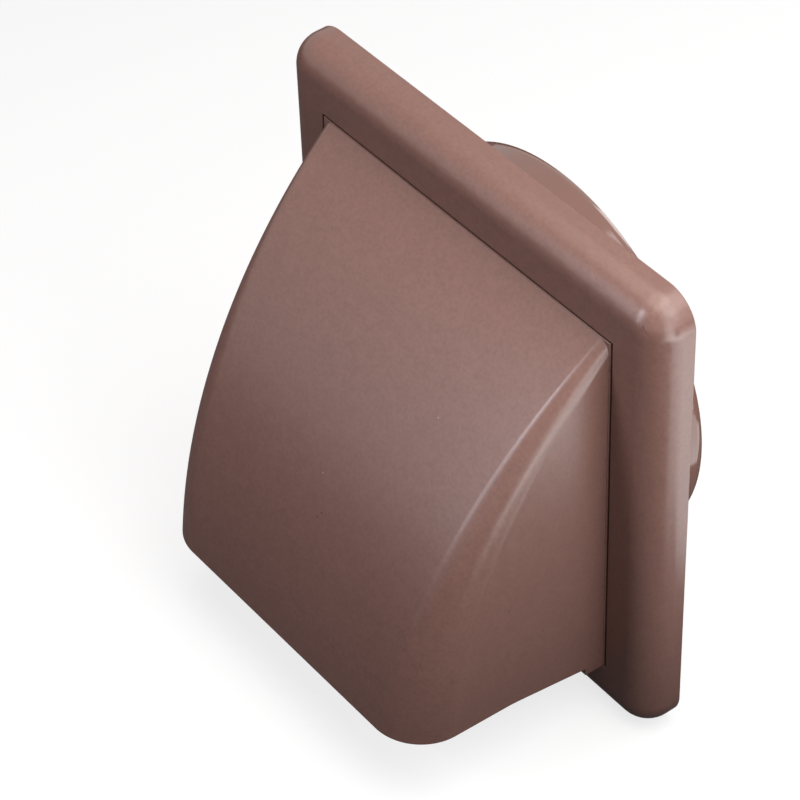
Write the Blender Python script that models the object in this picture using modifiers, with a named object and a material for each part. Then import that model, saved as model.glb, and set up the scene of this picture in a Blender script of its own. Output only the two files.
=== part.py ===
# Hooded wall vent for a round duct, with a top-hung backdraught flap behind its rain hood.
# Metres, Z up. The wall is the plane Y = 0, the hood faces -Y, and the spigot points to +Y
# along the Y axis. X is to the right for someone who stands in front of the wall.

import math

import bmesh
import bpy
from mathutils import Matrix, Vector

# Spigot and back plate
SPIGOT_DIAMETER = 0.1236
SPIGOT_WALL = 0.002
SPIGOT_LENGTH = 0.022
SPIGOT_LEAD_IN = 0.0008
SPIGOT_LEAD_IN_LENGTH = 0.0016
BACK_PLATE_THICKNESS = 0.0025
MOUTH_RING_WIDTH = 0.0068
FIXING_SLOT_WIDTH = 0.0052
FIXING_SLOT_LENGTH = 0.009
FIXING_SLOT_INSET = 0.0099

# Surround frame
WINDOW_MARGIN = 0.0006
WINDOW_DROP = 0.001
BAR_WIDTH = 0.0176
FRAME_DEPTH = 0.013
FRAME_CORNER_RADIUS = 0.0104
FRAME_EDGE_RADIUS = 0.0094
FRAME_WALL = 0.0025
RIB_THICKNESS = 0.0016
RIB_SPACING = 0.034
BOSS_RADIUS = 0.0035

# Hood
HOOD_SHADOW_GAP = 0.00075
HOOD_SIDE_MARGIN = 0.00045
HOOD_TOP_MARGIN = 0.00025
HOOD_PROJECTION = 0.0679
HOOD_ARC_RADIUS = 0.1842
HOOD_LIP_RISE = 0.0074
HOOD_TOP_FILLET = 0.0036
HOOD_LIP_FILLET = 0.0157
HOOD_DRAFT = math.radians(1.33)
HOOD_WALL = 0.0022
MOUTH_BEND_DEPTH = 0.0321
MOUTH_BEND_DROP = 0.001
MOUTH_BACK_DROP = 0.0045
FOOT_LENGTH = 0.0062
SLEEVE_DEPTH = 0.0046
SLEEVE_WALL = 0.0022
CLIP_WIDTH = 0.010
CLIP_THICKNESS = 0.0018
CLIP_LENGTH = 0.004
CLIP_BARB = 0.0019
CLIP_BARB_LENGTH = 0.0031
CLIP_SPACING = 0.060

# Flap, its hinge and its seal
SEAL_THICKNESS = 0.0015
SEAL_WIDTH = 0.0022
SEAL_INSET = 0.0006
BEAD_WIDTH = 0.001
BEAD_HEIGHT = 0.0008
FLAP_THICKNESS = 0.0016
FLAP_RIM_WIDTH = 0.0016
FLAP_RIM_HEIGHT = 0.0012
FLAP_RIM_SETBACK = 0.0004
FLAP_RIB_SPACING = 0.036
FLAP_RIB_WIDTH = 0.0014
FLAP_RIB_HEIGHT = 0.0008
PIN_RADIUS = 0.001
BARREL_WALL = 0.0009
HINGE_LENGTH = 0.066
BEARING_WIDTH = 0.004
BEARING_WALL = 0.0014
BEARING_MOUTH = 0.0017

# Screws that hold the back plate to the frame
SCREW_LENGTH = 0.009
SCREW_SHANK_RADIUS = 0.00145
SCREW_HEAD_RADIUS = 0.0028
SCREW_HEAD_DEPTH = 0.0014
SCREW_RECESS_LENGTH = 0.0032
SCREW_RECESS_WIDTH = 0.0008
SCREW_RECESS_DEPTH = 0.0008

# Clearances: between pieces that touch, and between pieces that move past each other
FIT_GAP = 0.0003
RUN_GAP = 0.0006

# How far a joined shape reaches into its neighbour, and a cutter past what it cuts
OVERLAP = 0.0005
CUT_PAST = 0.002

ROUND_STEPS = 96
SMALL_STEPS = 24
CORNER_STEPS = 8
ARC_ROWS = 30

# Worked out from the sizes above
SPIGOT_RADIUS = SPIGOT_DIAMETER / 2
BORE_RADIUS = SPIGOT_RADIUS - SPIGOT_WALL
MOUTH_RADIUS = BORE_RADIUS - MOUTH_RING_WIDTH
WINDOW_HALF = SPIGOT_RADIUS + WINDOW_MARGIN
WINDOW_BOTTOM = -WINDOW_HALF - WINDOW_DROP
PLATE_HALF = WINDOW_HALF + BAR_WIDTH
BACK_PLATE_HALF = PLATE_HALF - FRAME_WALL - FIT_GAP
BACK_PLATE_FRONT = -BACK_PLATE_THICKNESS
FRAME_FRONT = -FRAME_DEPTH
WINDOW_WALL_BACK = BACK_PLATE_FRONT - FIT_GAP
CHANNEL_MIDDLE = PLATE_HALF - BAR_WIDTH / 2

SEAL_INNER = MOUTH_RADIUS + SEAL_INSET
SEAL_OUTER = SEAL_INNER + SEAL_WIDTH
SEAL_BACK = BACK_PLATE_FRONT - FIT_GAP
SEAL_FRONT = SEAL_BACK - SEAL_THICKNESS
BEAD_INNER = SEAL_OUTER + FIT_GAP
FLAP_RADIUS = SEAL_OUTER + FIT_GAP
FLAP_BACK = SEAL_FRONT - FIT_GAP
FLAP_FRONT = FLAP_BACK - FLAP_THICKNESS
HINGE_Y = (FLAP_BACK + FLAP_FRONT) / 2
PIN_HOLE_RADIUS = PIN_RADIUS + FIT_GAP
BARREL_RADIUS = PIN_HOLE_RADIUS + BARREL_WALL
HINGE_Z = FLAP_RADIUS + RUN_GAP + BARREL_RADIUS
BARREL_HALF = HINGE_LENGTH / 2
BEARING_IN = BARREL_HALF + RUN_GAP
BEARING_OUT = BEARING_IN + BEARING_WIDTH

SLEEVE_OUTER = WINDOW_HALF - HOOD_SHADOW_GAP
SLEEVE_INNER = SLEEVE_OUTER - SLEEVE_WALL
SLEEVE_BACK = FRAME_FRONT + SLEEVE_DEPTH
HOOD_HALF_WIDTH = SLEEVE_OUTER - HOOD_SIDE_MARGIN
HOOD_TOP = Vector((FRAME_FRONT, SLEEVE_OUTER - WINDOW_DROP - HOOD_TOP_MARGIN))
HOOD_LIP = Vector((FRAME_FRONT - HOOD_PROJECTION, WINDOW_BOTTOM + HOOD_LIP_RISE))


def clear_scene():
    for old in list(bpy.data.objects):
        bpy.data.objects.remove(old, do_unlink=True)


def make_collection(name, hidden=False):
    collection = bpy.data.collections.new(name)
    bpy.context.scene.collection.children.link(collection)
    collection.hide_render = hidden
    return collection


def make_material(name, colour, roughness, metallic=0.0):
    material = bpy.data.materials.new(name)
    material.use_nodes = True
    shader = material.node_tree.nodes["Principled BSDF"]
    shader.inputs["Base Color"].default_value = (*colour, 1.0)
    shader.inputs["Roughness"].default_value = roughness
    shader.inputs["Metallic"].default_value = metallic
    return material


def mesh_from(bm, name, closed=True):
    if closed:
        bmesh.ops.recalc_face_normals(bm, faces=bm.faces)
    mesh = bpy.data.meshes.new(name)
    bm.to_mesh(mesh)
    bm.free()
    mesh.shade_smooth()
    mesh.set_sharp_from_angle(angle=math.radians(35))
    return mesh


def add_part(name, mesh, material):
    part = bpy.data.objects.new(name, mesh)
    part.data.materials.append(material)
    PARTS.objects.link(part)
    return part


def add_helper(name, mesh):
    helper = bpy.data.objects.new(name, mesh)
    helper.display_type = "WIRE"
    helper.hide_render = True
    HELPERS.objects.link(helper)
    return helper


def boolean(part, operation, other):
    modifier = part.modifiers.new(f"{operation.lower()} {other.name}", "BOOLEAN")
    modifier.operation = operation
    modifier.solver = "EXACT"
    modifier.object = other


def join(part, other):
    boolean(part, "UNION", other)


def cut(part, other):
    boolean(part, "DIFFERENCE", other)


# Shapes


def square_loop(half, radius, y, top_drop=0.0, bottom_drop=0.0):
    """Points round a square in the plane Y = y, with the same count whatever its corner radius.

    Its top and bottom sides can each lie lower than on a square about the vent's axis.
    """
    points = []
    radius = max(radius, 0.0)
    for corner in range(4):
        middle = math.radians(45 + 90 * corner)
        centre_x = math.copysign(half - radius, math.cos(middle))
        centre_z = math.copysign(half - radius, math.sin(middle))
        centre_z -= top_drop if centre_z > 0 else bottom_drop
        for step in range(CORNER_STEPS + 1):
            angle = math.radians(90 * corner + 90 * step / CORNER_STEPS)
            points.append((centre_x + radius * math.cos(angle), y, centre_z + radius * math.sin(angle)))
    return points


def loft(bm, loops, closed=False):
    """Skins a row of loops of equal count. A closed row ends on its first loop."""
    rings = [[bm.verts.new(point) for point in loop] for loop in loops]
    pairs = list(zip(rings, rings[1:]))
    if closed:
        pairs.append((rings[-1], rings[0]))
    for ring, following in pairs:
        count = len(ring)
        for i in range(count):
            j = (i + 1) % count
            bm.faces.new((ring[i], ring[j], following[j], following[i]))
    bmesh.ops.dissolve_degenerate(bm, dist=1e-6, edges=bm.edges)
    bmesh.ops.remove_doubles(bm, verts=bm.verts, dist=1e-6)


def prism(bm, outline, first, last, matrix=None):
    """Extrudes an outline of (x, y) points from Z = first to Z = last."""
    base = [bm.verts.new((x, y, first)) for x, y in outline]
    face = bm.faces.new(base)
    moved = bmesh.ops.extrude_face_region(bm, geom=[face])
    top = [item for item in moved["geom"] if isinstance(item, bmesh.types.BMVert)]
    bmesh.ops.translate(bm, verts=top, vec=(0, 0, last - first))
    if matrix:
        bmesh.ops.transform(bm, matrix=matrix, verts=base + top)
    bmesh.ops.remove_doubles(bm, verts=base + top, dist=1e-6)


def box(bm, low, high):
    size = Vector(high) - Vector(low)
    place = Matrix.Translation((Vector(low) + Vector(high)) / 2) @ Matrix.Diagonal((*size, 1.0))
    bmesh.ops.create_cube(bm, size=1.0, matrix=place)


def cylinder(bm, radius, first, last, axis, centre=(0, 0, 0), steps=SMALL_STEPS):
    """A cylinder along X or Y, from first to last on that axis."""
    turn = Matrix.Rotation(math.radians(90), 4, "Y" if axis == "X" else "X")
    middle = Vector(centre)
    middle["XYZ".index(axis)] = (first + last) / 2
    bmesh.ops.create_cone(
        bm,
        cap_ends=True,
        segments=steps,
        radius1=radius,
        radius2=radius,
        depth=abs(last - first),
        matrix=Matrix.Translation(middle) @ turn,
    )


def turned_mesh(name, profile, closed):
    """A profile of (radius, y) points. A closed one makes a ring, an open one ends on the axis."""
    mesh = bpy.data.meshes.new(name)
    count = len(profile)
    edges = [(i, i + 1) for i in range(count - 1)]
    if closed:
        edges.append((count - 1, 0))
    mesh.from_pydata([(radius, 0, y) for radius, y in profile], edges, [])
    return mesh


def turn(obj, steps):
    """Spins the object's profile about its own Z axis, and lays that axis along world Y."""
    screw = obj.modifiers.new("turn", "SCREW")
    screw.axis = "Z"
    screw.steps = steps
    screw.render_steps = steps
    screw.use_merge_vertices = True
    screw.merge_threshold = 1e-5
    screw.use_smooth_shade = True
    obj.rotation_euler.x = math.radians(-90)


def ring_profile(inner, outer, back, front):
    """A rectangular section. Back is the end at the larger Y."""
    return [(outer, back), (outer, front), (inner, front), (inner, back)]


def quarter_turns():
    return [Matrix.Rotation(math.radians(90 * i), 4, "Y") for i in range(4)]


# Surround frame


def frame_skin():
    """(inset from the plate's edge, y, top drop, bottom drop) of each loop, from the wall to the window.

    The window lies a little low, but behind the hood's sleeve it is open to its full height for the hinge.
    """
    points = [(0.0, 0.0, 0.0, 0.0)]
    centre_y = FRAME_FRONT + FRAME_EDGE_RADIUS
    for step in range(CORNER_STEPS + 1):
        angle = math.radians(90 * step / CORNER_STEPS)
        inset = FRAME_EDGE_RADIUS * (1 - math.cos(angle))
        points.append((inset, centre_y - FRAME_EDGE_RADIUS * math.sin(angle), 0.0, 0.0))
    points.append((BAR_WIDTH, FRAME_FRONT, WINDOW_DROP, WINDOW_DROP))
    points.append((BAR_WIDTH, SLEEVE_BACK, 0.0, WINDOW_DROP))
    points.append((BAR_WIDTH, WINDOW_WALL_BACK, 0.0, WINDOW_DROP))
    return points


def rib_outline():
    """The channel's section at the middle of its walls, as (x, y) from the vent's axis outwards."""
    half_wall = FRAME_WALL / 2
    back = WINDOW_WALL_BACK - FIT_GAP
    centre_y = FRAME_FRONT + FRAME_EDGE_RADIUS
    radius = FRAME_EDGE_RADIUS - half_wall
    start = math.asin(max(centre_y - back, 0.0) / radius)
    points = [(PLATE_HALF - half_wall, back)]
    for step in range(CORNER_STEPS + 1):
        angle = start + (math.pi / 2 - start) * step / CORNER_STEPS
        x = PLATE_HALF - FRAME_EDGE_RADIUS + radius * math.cos(angle)
        points.append((x, centre_y - radius * math.sin(angle)))
    points.append((WINDOW_HALF + half_wall, FRAME_FRONT + half_wall))
    points.append((WINDOW_HALF + half_wall, back))
    return points


def build_surround_frame(material):
    bm = bmesh.new()
    loops = []
    for inset, y, top_drop, bottom_drop in frame_skin():
        radius = FRAME_CORNER_RADIUS - inset
        loops.append(square_loop(PLATE_HALF - inset, radius, y, top_drop, bottom_drop))
    loft(bm, loops)
    frame = add_part("surround_frame", mesh_from(bm, "surround_frame", closed=False), material)
    shell = frame.modifiers.new("wall", "SOLIDIFY")
    shell.thickness = FRAME_WALL
    shell.offset = -1.0
    shell.use_even_offset = True

    bm = bmesh.new()
    for matrix in quarter_turns():
        for place in (-RIB_SPACING, 0.0, RIB_SPACING):
            prism(bm, rib_outline(), place - RIB_THICKNESS / 2, place + RIB_THICKNESS / 2, matrix)
        centre = matrix @ Vector((CHANNEL_MIDDLE, 0, CHANNEL_MIDDLE))
        front = FRAME_FRONT + FRAME_WALL - OVERLAP
        cylinder(bm, BOSS_RADIUS, front, WINDOW_WALL_BACK - FIT_GAP, "Y", centre)
    join(frame, add_helper("frame_ribs_and_bosses", mesh_from(bm, "frame_ribs_and_bosses")))

    bm = bmesh.new()
    for matrix in quarter_turns():
        centre = matrix @ Vector((CHANNEL_MIDDLE, 0, CHANNEL_MIDDLE))
        tip = -SCREW_LENGTH - RUN_GAP
        cylinder(bm, SCREW_SHANK_RADIUS + FIT_GAP, tip, CUT_PAST, "Y", centre)
    inner = WINDOW_HALF - CUT_PAST
    outer = WINDOW_HALF + FRAME_WALL + CUT_PAST
    half = CLIP_WIDTH / 2 + FIT_GAP
    for side in (-1, 1):
        low, high = sorted((side * inner, side * outer))
        for z in (-CLIP_SPACING / 2, CLIP_SPACING / 2):
            box(bm, (low, clip_catch() - FIT_GAP, z - half), (high, clip_end() + FIT_GAP, z + half))
    cut(frame, add_helper("frame_holes", mesh_from(bm, "frame_holes")))
    return frame


# Back plate with the spigot


def fixing_slot(bm, x, z):
    """A slot with round ends through the back plate, longer along X."""
    reach = (FIXING_SLOT_LENGTH - FIXING_SLOT_WIDTH) / 2
    radius = FIXING_SLOT_WIDTH / 2
    outline = []
    for side, start in ((1, -90), (-1, 90)):
        for step in range(CORNER_STEPS + 1):
            angle = math.radians(start + 180 * step / CORNER_STEPS)
            outline.append((x + side * reach + radius * math.cos(angle), z + radius * math.sin(angle)))
    lay_flat = Matrix.Rotation(math.radians(90), 4, "X")
    prism(bm, outline, -CUT_PAST, BACK_PLATE_THICKNESS + CUT_PAST, lay_flat)


def bearing(bm, side):
    """The block that carries one end of the hinge pin."""
    low, high = sorted((side * BEARING_IN, side * BEARING_OUT))
    reach = PIN_HOLE_RADIUS + BEARING_WALL
    front = HINGE_Y - reach
    box(bm, (low, front, HINGE_Z - reach), (high, BACK_PLATE_FRONT + OVERLAP, HINGE_Z + reach))


def bearing_hole(bm, side):
    low, high = sorted((side * BARREL_HALF, side * (BEARING_OUT + CUT_PAST)))
    cylinder(bm, PIN_HOLE_RADIUS, low, high, "X", (0, HINGE_Y, HINGE_Z))


def bearing_mouth(bm, side):
    """The opening, narrower than the pin, that it is pressed in through."""
    low, high = sorted((side * BARREL_HALF, side * (BEARING_OUT + CUT_PAST)))
    front = HINGE_Y - PIN_HOLE_RADIUS - BEARING_WALL - CUT_PAST
    half = BEARING_MOUTH / 2
    box(bm, (low, front, HINGE_Z - half), (high, HINGE_Y, HINGE_Z + half))


def build_spigot_plate(material):
    radius = FRAME_CORNER_RADIUS - FRAME_WALL - FIT_GAP
    bm = bmesh.new()
    outline = [(x, -z) for x, _, z in square_loop(BACK_PLATE_HALF, radius, 0)]
    prism(bm, outline, -BACK_PLATE_THICKNESS, 0, Matrix.Rotation(math.radians(-90), 4, "X"))
    plate = add_part("spigot_plate", mesh_from(bm, "spigot_plate"), material)

    tube = [
        (SPIGOT_RADIUS - SPIGOT_LEAD_IN, SPIGOT_LENGTH),
        (SPIGOT_RADIUS, SPIGOT_LENGTH - SPIGOT_LEAD_IN_LENGTH),
        (SPIGOT_RADIUS, -OVERLAP),
        (BORE_RADIUS, -OVERLAP),
        (BORE_RADIUS, SPIGOT_LENGTH),
    ]
    spigot = add_helper("spigot_tube", turned_mesh("spigot_tube", tube, True))
    turn(spigot, ROUND_STEPS)
    join(plate, spigot)

    bead = ring_profile(
        BEAD_INNER, BEAD_INNER + BEAD_WIDTH, BACK_PLATE_FRONT + OVERLAP, BACK_PLATE_FRONT - BEAD_HEIGHT
    )
    seat_bead = add_helper("seat_bead", turned_mesh("seat_bead", bead, True))
    turn(seat_bead, ROUND_STEPS)
    join(plate, seat_bead)

    bm = bmesh.new()
    for side in (-1, 1):
        bearing(bm, side)
    join(plate, add_helper("bearings", mesh_from(bm, "bearings")))

    bm = bmesh.new()
    cylinder(bm, MOUTH_RADIUS, -BACK_PLATE_THICKNESS - CUT_PAST, CUT_PAST, "Y", steps=ROUND_STEPS)
    inset = WINDOW_HALF - FIXING_SLOT_INSET
    for x in (-inset, inset):
        for z in (-inset, inset):
            fixing_slot(bm, x, z)
    for side in (-1, 1):
        bearing_hole(bm, side)
    cut(plate, add_helper("plate_holes", mesh_from(bm, "plate_holes")))

    bm = bmesh.new()
    for side in (-1, 1):
        bearing_mouth(bm, side)
    cut(plate, add_helper("bearing_mouths", mesh_from(bm, "bearing_mouths")))

    for number, centre in enumerate(screw_places(), 1):
        seat = add_helper(f"screw_seat_{number}", turned_mesh("screw_seat", screw_seat_profile(), False))
        turn(seat, SMALL_STEPS)
        seat.location = centre
        cut(plate, seat)
    return plate


# Screws


def screw_places():
    return [matrix @ Vector((CHANNEL_MIDDLE, 0, CHANNEL_MIDDLE)) for matrix in quarter_turns()]


def screw_profile():
    head_top = -FIT_GAP
    neck = head_top - SCREW_HEAD_DEPTH
    return [
        (0.0, head_top),
        (SCREW_HEAD_RADIUS, head_top),
        (SCREW_SHANK_RADIUS, neck),
        (SCREW_SHANK_RADIUS, -SCREW_LENGTH + SCREW_SHANK_RADIUS),
        (0.0, -SCREW_LENGTH),
    ]


def screw_seat_profile():
    """The countersunk hole in the back plate, a clearance larger than the screw."""
    neck = -FIT_GAP - SCREW_HEAD_DEPTH
    return [
        (0.0, CUT_PAST),
        (SCREW_HEAD_RADIUS + FIT_GAP, CUT_PAST),
        (SCREW_HEAD_RADIUS + FIT_GAP, -FIT_GAP),
        (SCREW_SHANK_RADIUS + FIT_GAP, neck),
        (SCREW_SHANK_RADIUS + FIT_GAP, -BACK_PLATE_THICKNESS - CUT_PAST),
        (0.0, -BACK_PLATE_THICKNESS - CUT_PAST),
    ]


def build_screws(material):
    bm = bmesh.new()
    long_half = SCREW_RECESS_LENGTH / 2
    short_half = SCREW_RECESS_WIDTH / 2
    low = -FIT_GAP - SCREW_RECESS_DEPTH
    box(bm, (-long_half, low, -short_half), (long_half, CUT_PAST, short_half))
    recess_bar = mesh_from(bm, "recess_bar")
    bm = bmesh.new()
    box(bm, (-short_half, low, -long_half), (short_half, CUT_PAST, long_half))
    recess_cross_bar = mesh_from(bm, "recess_cross_bar")
    for number, centre in enumerate(screw_places(), 1):
        shape = turned_mesh("plate_screw", screw_profile(), False)
        screw = add_part(f"plate_screw_{number}", shape, material)
        turn(screw, SMALL_STEPS)
        screw.location = centre
        for mesh in (recess_bar, recess_cross_bar):
            bar = add_helper(f"{mesh.name}_{number}", mesh)
            bar.location = centre
            cut(screw, bar)


# Hood


def hood_arc():
    """Centre and end angles of the hood's front curve, as seen along X in the (y, z) plane."""
    chord = HOOD_LIP - HOOD_TOP
    inward = Vector((-chord.y, chord.x)).normalized()
    centre = (HOOD_TOP + HOOD_LIP) / 2 + inward * math.sqrt(HOOD_ARC_RADIUS**2 - (chord.length / 2) ** 2)
    first = math.atan2(HOOD_TOP.y - centre.y, HOOD_TOP.x - centre.x)
    last = math.atan2(HOOD_LIP.y - centre.y, HOOD_LIP.x - centre.x)
    return centre, first, last


def hood_half_width(y):
    """The side wall's X. It leans in by the draft as it comes forward."""
    return HOOD_HALF_WIDTH - math.tan(HOOD_DRAFT) * (FRAME_FRONT - y)


def hood_half_skin():
    """Rows of points over the right half of the hood: front curve, widening fillet, flat side wall."""
    centre, first, last = hood_arc()
    past_top = HOOD_TOP_MARGIN / HOOD_ARC_RADIUS
    past_lip = (HOOD_LIP_RISE + CUT_PAST) / HOOD_ARC_RADIUS
    back_y = SLEEVE_BACK - OVERLAP
    rows = []
    for row in range(ARC_ROWS + 1):
        share = row / ARC_ROWS
        angle = first - past_top + share * (last + past_lip - first + past_top)
        along = (angle - first) / (last - first)
        fillet = HOOD_TOP_FILLET + (HOOD_LIP_FILLET - HOOD_TOP_FILLET) * along
        outward = Vector((math.cos(angle), math.sin(angle)))
        crest = centre + outward * HOOD_ARC_RADIUS
        points = [(0.0, crest.x, crest.y)]
        for step in range(CORNER_STEPS + 1):
            turned = math.radians(90 * step / CORNER_STEPS)
            place = crest - outward * fillet * (1 - math.cos(turned))
            x = hood_half_width(place.x) - fillet * (1 - math.sin(turned))
            points.append((x, place.x, place.y))
        side_z = points[-1][2]
        back_z = side_z + (-PLATE_HALF - side_z) * share
        points.append((hood_half_width(back_y), back_y, back_z))
        rows.append(points)
    return rows


def mouth_outline():
    """(y, z) points of what is cut away below the hood: its sloping lower edge and its feet."""
    centre = hood_arc()[0]
    far = centre.x - HOOD_ARC_RADIUS - CUT_PAST
    low = -PLATE_HALF - CUT_PAST
    foot_front = FRAME_FRONT - FOOT_LENGTH
    foot_z = WINDOW_BOTTOM + FIT_GAP
    back = SLEEVE_BACK + CUT_PAST
    return [
        (far, HOOD_LIP.y),
        (FRAME_FRONT - HOOD_PROJECTION, HOOD_LIP.y),
        (FRAME_FRONT - MOUTH_BEND_DEPTH, HOOD_LIP.y - MOUTH_BEND_DROP),
        (foot_front, HOOD_LIP.y - MOUTH_BACK_DROP),
        (foot_front, foot_z),
        (back, foot_z),
        (back, low),
        (far, low),
    ]


def clip_catch():
    """Y of the flat that holds the hood in, on the clip's barb."""
    return SLEEVE_BACK + RUN_GAP


def clip_end():
    return SLEEVE_BACK + CLIP_LENGTH


def clip_outline(side):
    """(x, y) points of a clip finger and its barb."""
    outer = SLEEVE_OUTER
    inner = outer - CLIP_THICKNESS
    points = [
        (inner, SLEEVE_BACK - OVERLAP),
        (outer, SLEEVE_BACK - OVERLAP),
        (outer, clip_catch()),
        (outer + CLIP_BARB, clip_catch()),
        (outer, clip_catch() + CLIP_BARB_LENGTH),
        (outer, clip_end()),
        (inner, clip_end()),
    ]
    return [(side * x, y) for x, y in points]


def build_hood(material):
    bm = bmesh.new()
    grid = [[bm.verts.new(point) for point in row] for row in hood_half_skin()]
    for upper, lower in zip(grid, grid[1:]):
        for i in range(len(upper) - 1):
            bm.faces.new((upper[i], lower[i], lower[i + 1], upper[i + 1]))
    hood = add_part("cowl_hood", mesh_from(bm, "cowl_hood", closed=False), material)
    halves = hood.modifiers.new("halves", "MIRROR")
    halves.use_axis = (True, False, False)
    halves.use_clip = True
    halves.merge_threshold = 1e-5
    shell = hood.modifiers.new("wall", "SOLIDIFY")
    shell.thickness = HOOD_WALL
    shell.offset = -1.0
    shell.use_even_offset = True

    bm = bmesh.new()
    width = PLATE_HALF
    across = Matrix(((0, 0, 1, 0), (1, 0, 0, 0), (0, 1, 0, 0), (0, 0, 0, 1)))
    prism(bm, mouth_outline(), -width, width, across)
    cut(hood, add_helper("hood_mouth", mesh_from(bm, "hood_mouth")))

    bm = bmesh.new()
    sizes = (
        (SLEEVE_OUTER, FRAME_FRONT),
        (SLEEVE_OUTER, SLEEVE_BACK),
        (SLEEVE_INNER, SLEEVE_BACK),
        (SLEEVE_INNER, FRAME_FRONT),
    )
    loft(bm, [square_loop(half, 0.0, y, WINDOW_DROP, WINDOW_DROP) for half, y in sizes], closed=True)
    join(hood, add_helper("hood_sleeve", mesh_from(bm, "hood_sleeve")))

    bm = bmesh.new()
    for side in (-1, 1):
        for z in (-CLIP_SPACING / 2, CLIP_SPACING / 2):
            prism(bm, clip_outline(side), z - CLIP_WIDTH / 2, z + CLIP_WIDTH / 2)
    join(hood, add_helper("hood_clips", mesh_from(bm, "hood_clips")))
    return hood


# Flap, pin and seal


def flap_outline():
    """(x, z) points of a round flap whose top runs up into a straight hinge tongue."""
    root = math.asin(BARREL_HALF / FLAP_RADIUS)
    sweep = 2 * (math.pi - root)
    points = []
    for step in range(ROUND_STEPS + 1):
        angle = math.pi / 2 - root - sweep * step / ROUND_STEPS
        points.append((FLAP_RADIUS * math.cos(angle), FLAP_RADIUS * math.sin(angle)))
    return points + [(-BARREL_HALF, HINGE_Z), (BARREL_HALF, HINGE_Z)]


def build_flap(material):
    """Its origin is on the hinge axis."""
    origin = Vector((0, HINGE_Y, HINGE_Z))
    bm = bmesh.new()
    stand_up = Matrix.Rotation(math.radians(90), 4, "X")
    prism(bm, flap_outline(), -FLAP_BACK, -FLAP_FRONT, stand_up)
    bmesh.ops.translate(bm, verts=bm.verts, vec=-origin)
    flap = add_part("damper_flap", mesh_from(bm, "damper_flap"), material)
    flap.location = origin

    bm = bmesh.new()
    cylinder(bm, BARREL_RADIUS, -BARREL_HALF, BARREL_HALF, "X", (0, HINGE_Y, HINGE_Z))
    join(flap, add_helper("flap_barrel", mesh_from(bm, "flap_barrel")))

    rim_outer = FLAP_RADIUS - FLAP_RIM_SETBACK
    rim_inner = rim_outer - FLAP_RIM_WIDTH
    rim = ring_profile(rim_inner, rim_outer, FLAP_FRONT + OVERLAP, FLAP_FRONT - FLAP_RIM_HEIGHT)
    flap_rim = add_helper("flap_rim", turned_mesh("flap_rim", rim, True))
    turn(flap_rim, ROUND_STEPS)
    join(flap, flap_rim)

    bm = bmesh.new()
    for x in (-FLAP_RIB_SPACING / 2, FLAP_RIB_SPACING / 2):
        reach = math.sqrt(rim_inner**2 - x**2) + OVERLAP
        low = (x - FLAP_RIB_WIDTH / 2, FLAP_FRONT - FLAP_RIB_HEIGHT, -reach)
        box(bm, low, (x + FLAP_RIB_WIDTH / 2, FLAP_FRONT + OVERLAP, reach))
    join(flap, add_helper("flap_ribs", mesh_from(bm, "flap_ribs")))

    bm = bmesh.new()
    reach = BARREL_HALF + CUT_PAST
    cylinder(bm, PIN_HOLE_RADIUS, -reach, reach, "X", (0, HINGE_Y, HINGE_Z))
    cut(flap, add_helper("flap_pin_hole", mesh_from(bm, "flap_pin_hole")))
    return flap


def build_flap_pin(material):
    origin = Vector((0, HINGE_Y, HINGE_Z))
    bm = bmesh.new()
    cylinder(bm, PIN_RADIUS, -BEARING_OUT, BEARING_OUT, "X", origin)
    bmesh.ops.translate(bm, verts=bm.verts, vec=-origin)
    pin = add_part("flap_pin", mesh_from(bm, "flap_pin"), material)
    pin.location = origin
    return pin


def build_seal(material):
    profile = ring_profile(SEAL_INNER, SEAL_OUTER, SEAL_BACK, SEAL_FRONT)
    seal = add_part("seat_seal", turned_mesh("seat_seal", profile, True), material)
    turn(seal, ROUND_STEPS)
    return seal


clear_scene()
PARTS = make_collection("hooded_wall_vent")
HELPERS = make_collection("cutters_and_joined_shapes", hidden=True)

textured_brown = make_material("textured brown plastic", (0.158, 0.082, 0.066), 0.5)
glossy_brown = make_material("glossy brown plastic", (0.158, 0.082, 0.066), 0.25)
stainless_steel = make_material("stainless steel", (0.62, 0.61, 0.59), 0.3, 1.0)
zinc_steel = make_material("zinc plated steel", (0.66, 0.65, 0.62), 0.4, 1.0)
black_foam = make_material("black foam", (0.018, 0.018, 0.018), 0.9)

build_surround_frame(textured_brown)
build_spigot_plate(glossy_brown)
build_screws(zinc_steel)
build_hood(textured_brown)
build_flap(glossy_brown)
build_flap_pin(stainless_steel)
build_seal(black_foam)
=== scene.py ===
import math

import bmesh
import bpy
from mathutils import Matrix, Vector


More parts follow.
